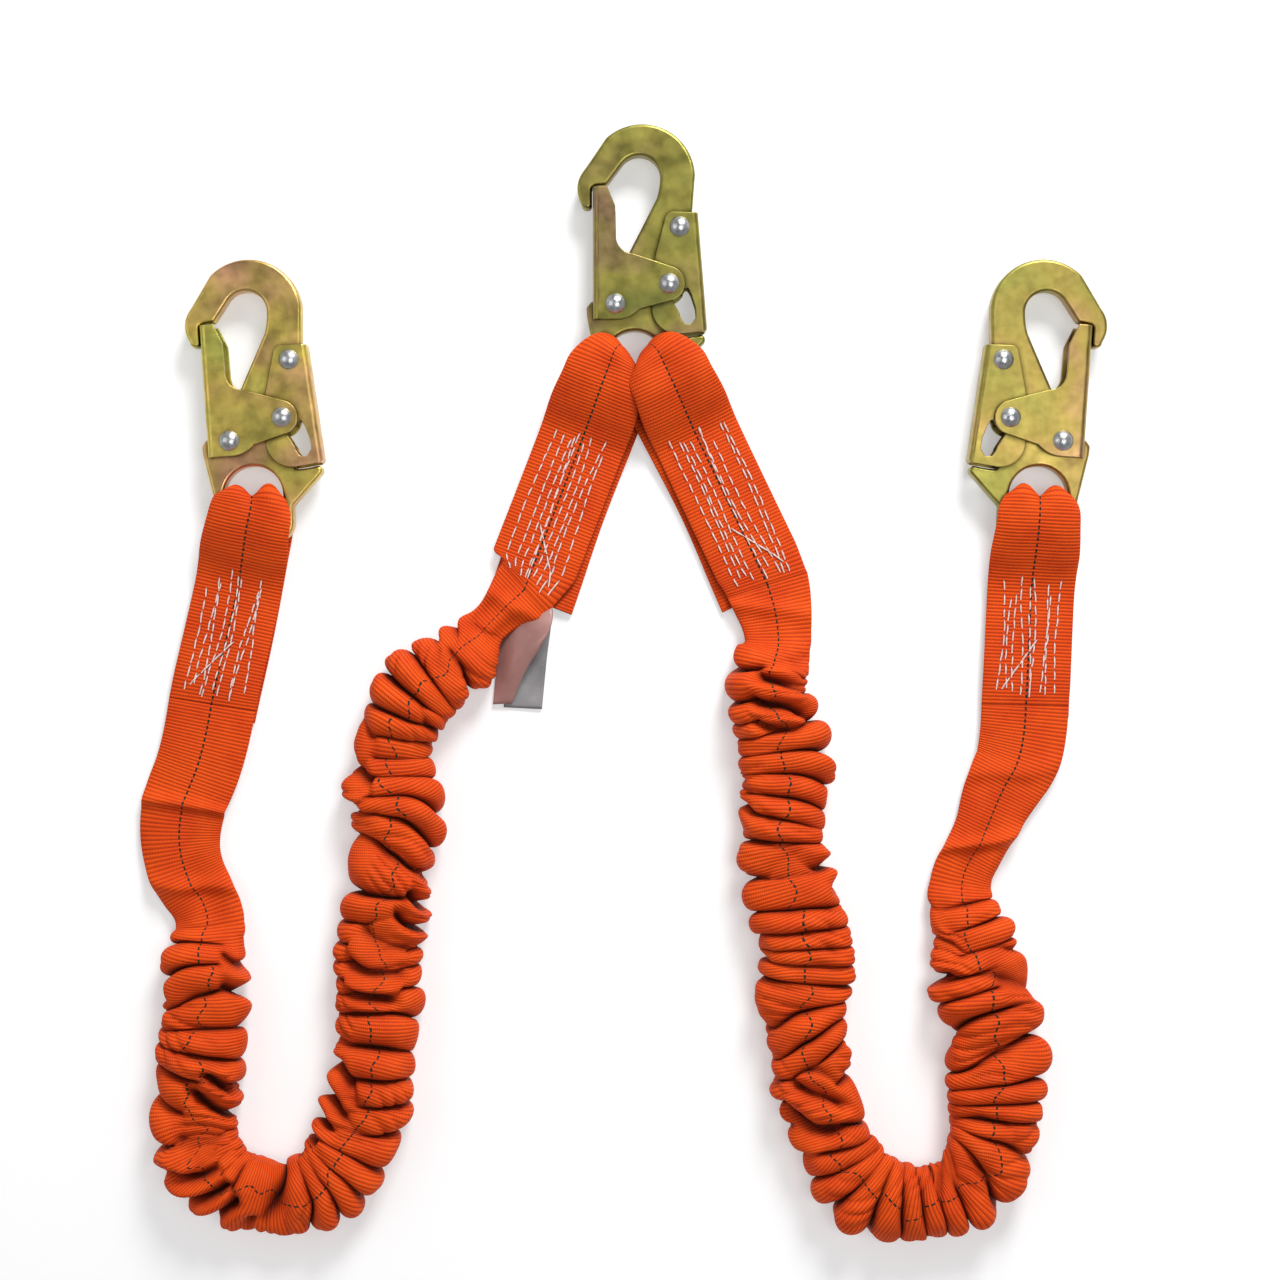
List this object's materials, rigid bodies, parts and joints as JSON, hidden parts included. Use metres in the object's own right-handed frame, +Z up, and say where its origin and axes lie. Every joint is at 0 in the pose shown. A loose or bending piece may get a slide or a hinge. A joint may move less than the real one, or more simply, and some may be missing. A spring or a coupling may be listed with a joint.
{
  "type": "shock absorbing lanyard",
  "caption": "Twin-leg shock absorbing lanyard of elasticated tubular webbing, with a double-locking snap hook at every end.",
  "frame": {"origin": "on the surface it lies on, under the middle of the box round the three hooks", "axes": "+Z up from the surface, +Y from the hooks' eyes to their bows, +X from the left hook to the right hook"},
  "size_m": [0.4859, 0.5578, 0.0242],
  "materials": {
    "hook_steel": "yellow zinc dichromate over forged steel",
    "sheet_steel": "yellow zinc dichromate over folded sheet steel",
    "rivet_steel": "bright zinc",
    "spring_steel": "spring wire",
    "webbing": "ribbed polyester webbing",
    "core_webbing": "folded polyester webbing",
    "elastic": "braided elastic",
    "thread": "bonded polyester thread",
    "label_vinyl": "soft translucent vinyl",
    "label_paper": "printed-film grey, blank"
  },
  "bodies": {
    "center_hook": {"center_hook_body": "hook_steel", "center_gate_rivet": "rivet_steel", "center_lever_rivet": "rivet_steel", "center_gate_spring": "spring_steel", "center_lever_spring": "spring_steel"},
    "center_gate": {"center_gate": "sheet_steel", "center_lock_pin": "rivet_steel"},
    "center_lever": {"center_lock_lever": "sheet_steel"},
    "left_hook": {"left_hook_body": "hook_steel", "left_gate_rivet": "rivet_steel", "left_lever_rivet": "rivet_steel", "left_gate_spring": "spring_steel", "left_lever_spring": "spring_steel"},
    "left_gate": {"left_gate": "sheet_steel", "left_lock_pin": "rivet_steel"},
    "left_lever": {"left_lock_lever": "sheet_steel"},
    "right_hook": {"right_hook_body": "hook_steel", "right_gate_rivet": "rivet_steel", "right_lever_rivet": "rivet_steel", "right_gate_spring": "spring_steel", "right_lever_spring": "spring_steel"},
    "right_gate": {"right_gate": "sheet_steel", "right_lock_pin": "rivet_steel"},
    "right_lever": {"right_lock_lever": "sheet_steel"},
    "left_leg": {"left_leg_cover": "webbing", "left_upper_eye": "webbing", "left_lower_eye": "webbing", "left_absorber_core": "core_webbing", "left_elastic_strips": "elastic", "left_upper_stitching": "thread", "left_lower_stitching": "thread", "label_cover": "label_vinyl", "label_pages": "label_paper"},
    "right_leg": {"right_leg_cover": "webbing", "right_upper_eye": "webbing", "right_lower_eye": "webbing", "right_absorber_core": "core_webbing", "right_elastic_strips": "elastic", "right_upper_stitching": "thread", "right_lower_stitching": "thread"}
  },
  "joints": [
    {"name": "center_gate_swing", "type": "hinge", "parent": "center_hook", "child": "center_gate", "pos_m": [-0.0152, 0.01475, 0.0108], "axis": [0, 0, -1], "range_deg": [0, 29], "stiffness_Nm_per_rad": 0.12, "springref_deg": -20.05, "deforming": ["center_gate_spring"]},
    {"name": "center_lever_press", "type": "hinge", "parent": "center_hook", "child": "center_lever", "pos_m": [0.0167, 0.05325, 0.0108], "axis": [0, 0, -1], "range_deg": [0, 10], "deforming": ["center_lever_spring"]},
    {"name": "left_gate_swing", "type": "hinge", "parent": "left_hook", "child": "left_gate", "pos_m": [-0.2068, -0.05341, 0.0108], "axis": [0, 0, -1], "range_deg": [0, 29], "stiffness_Nm_per_rad": 0.12, "springref_deg": -20.05, "deforming": ["left_gate_spring"]},
    {"name": "left_lever_press", "type": "hinge", "parent": "left_hook", "child": "left_lever", "pos_m": [-0.1776, -0.01283, 0.0108], "axis": [0, 0, -1], "range_deg": [0, 10], "deforming": ["left_lever_spring"]},
    {"name": "right_gate_swing", "type": "hinge", "parent": "right_hook", "child": "right_gate", "pos_m": [0.2068, -0.05341, 0.0108], "axis": [0, 0, 1], "range_deg": [0, 29], "stiffness_Nm_per_rad": 0.12, "springref_deg": -20.05, "deforming": ["right_gate_spring"]},
    {"name": "right_lever_press", "type": "hinge", "parent": "right_hook", "child": "right_lever", "pos_m": [0.1776, -0.01283, 0.0108], "axis": [0, 0, 1], "range_deg": [0, 10], "deforming": ["right_lever_spring"]},
    {"name": "left_leg_swing", "type": "hinge", "parent": "center_hook", "child": "left_leg", "pos_m": [-0.0057, -0.0321, 0.0108], "axis": [-1, 0, 0], "range_deg": [0, 90]},
    {"name": "left_hook_swing", "type": "hinge", "parent": "left_leg", "child": "left_hook", "pos_m": [-0.19414, -0.0995, 0.0108], "axis": [0.9977, 0.068, 0], "range_deg": [0, 90]},
    {"name": "right_leg_swing", "type": "hinge", "parent": "center_hook", "child": "right_leg", "pos_m": [-0.0057, -0.0321, 0.0108], "axis": [-1, 0, 0], "range_deg": [0, 90]},
    {"name": "right_hook_swing", "type": "hinge", "parent": "right_leg", "child": "right_hook", "pos_m": [0.19414, -0.0995, 0.0108], "axis": [0.9977, -0.068, 0], "range_deg": [0, 90]}
  ],
  "couplings": [
    {"joint": "center_lever_press", "follows": "center_gate_swing", "ratio": 0.34483},
    {"joint": "left_lever_press", "follows": "left_gate_swing", "ratio": 0.34483},
    {"joint": "right_lever_press", "follows": "right_gate_swing", "ratio": 0.34483}
  ]
}
